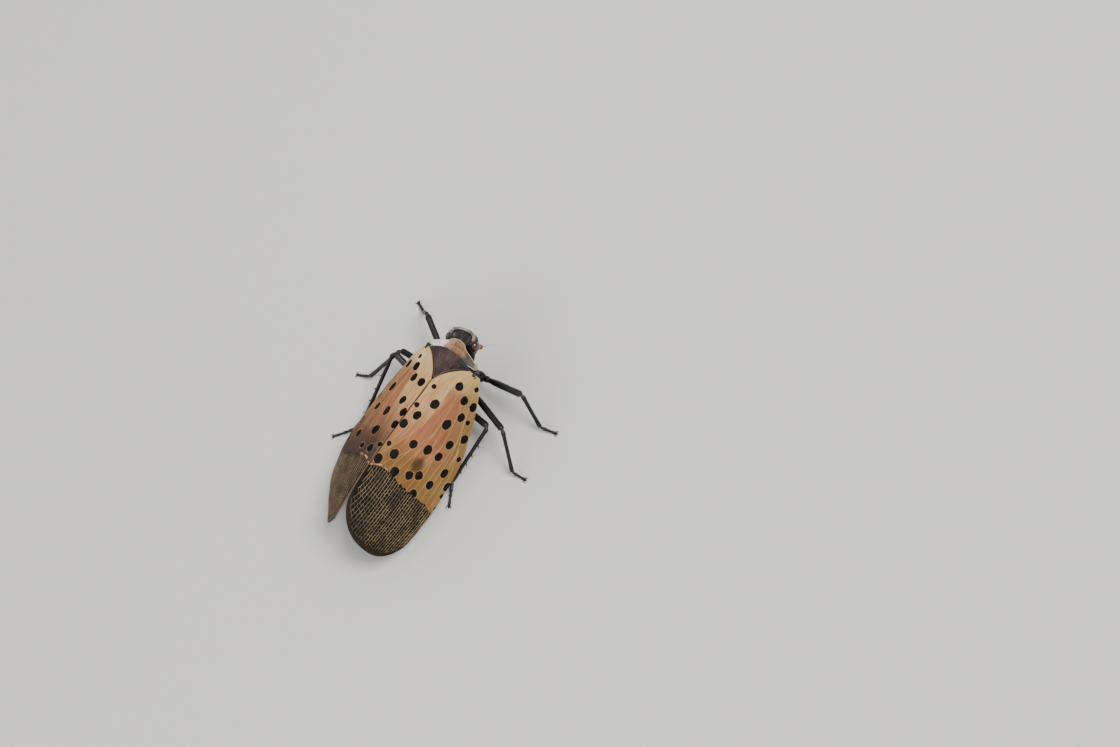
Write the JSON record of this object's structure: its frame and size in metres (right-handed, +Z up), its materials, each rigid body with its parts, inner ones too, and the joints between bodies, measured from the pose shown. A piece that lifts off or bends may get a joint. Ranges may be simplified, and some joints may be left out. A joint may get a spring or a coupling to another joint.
{
  "type": "spotted lanternfly",
  "caption": "Life-size model of a female spotted lanternfly at rest on a level surface, its wings folded like a roof over the body",
  "frame": {"origin": "centre of the bounding box, on the floor under the insect", "axes": "+Z up from the floor, -Y towards the head, -X to the animal's right"},
  "size_m": [0.024, 0.0266, 0.0077],
  "materials": {
    "cuticle": "blackish grey body cuticle, softly glossy and finely pitted",
    "leg": "glossy black leg cuticle with lengthwise ridges and short bristles",
    "eye": "dark purple-brown compound eye, shiny and finely faceted",
    "antenna": "orange-red, closely pitted feeler base with a black bristle",
    "pronotum": "grey-beige collar, tan and mottled in the middle, with a pale rim",
    "mesonotum": "dark purplish brown shield with a faint sheen",
    "abdomen": "yellow with broad black bands, smooth and taut",
    "valvifers": "glossy red plates at the end of the abdomen",
    "forewing": "pinkish tan leathery wing with black spots and a netted dark tip",
    "hindwing": "red folded hindwing with black spots, a pale band and a black tip"
  },
  "bodies": {
    "root": {"head": "cuticle", "eye_left": "eye", "eye_right": "eye", "antenna_left": "antenna", "antenna_right": "antenna", "rostrum": "cuticle", "pronotum": "pronotum", "mesonotum": "mesonotum", "thorax": "cuticle", "tegula_left": "cuticle", "tegula_right": "cuticle", "abdomen": "abdomen", "valvifers": "valvifers", "forewing_left": "forewing", "forewing_right": "forewing", "hindwing_left": "hindwing", "hindwing_right": "hindwing", "femur_fore_left": "leg", "femur_fore_right": "leg", "femur_mid_left": "leg", "femur_mid_right": "leg", "femur_hind_left": "leg", "femur_hind_right": "leg", "tibia_fore_left": "leg", "tibia_fore_right": "leg", "tibia_mid_left": "leg", "tibia_mid_right": "leg", "tibia_hind_left": "leg", "tibia_hind_right": "leg", "tarsus_fore_left": "leg", "tarsus_fore_right": "leg", "tarsus_mid_left": "leg", "tarsus_mid_right": "leg", "tarsus_hind_left": "leg", "tarsus_hind_right": "leg"}
  },
  "joints": []
}
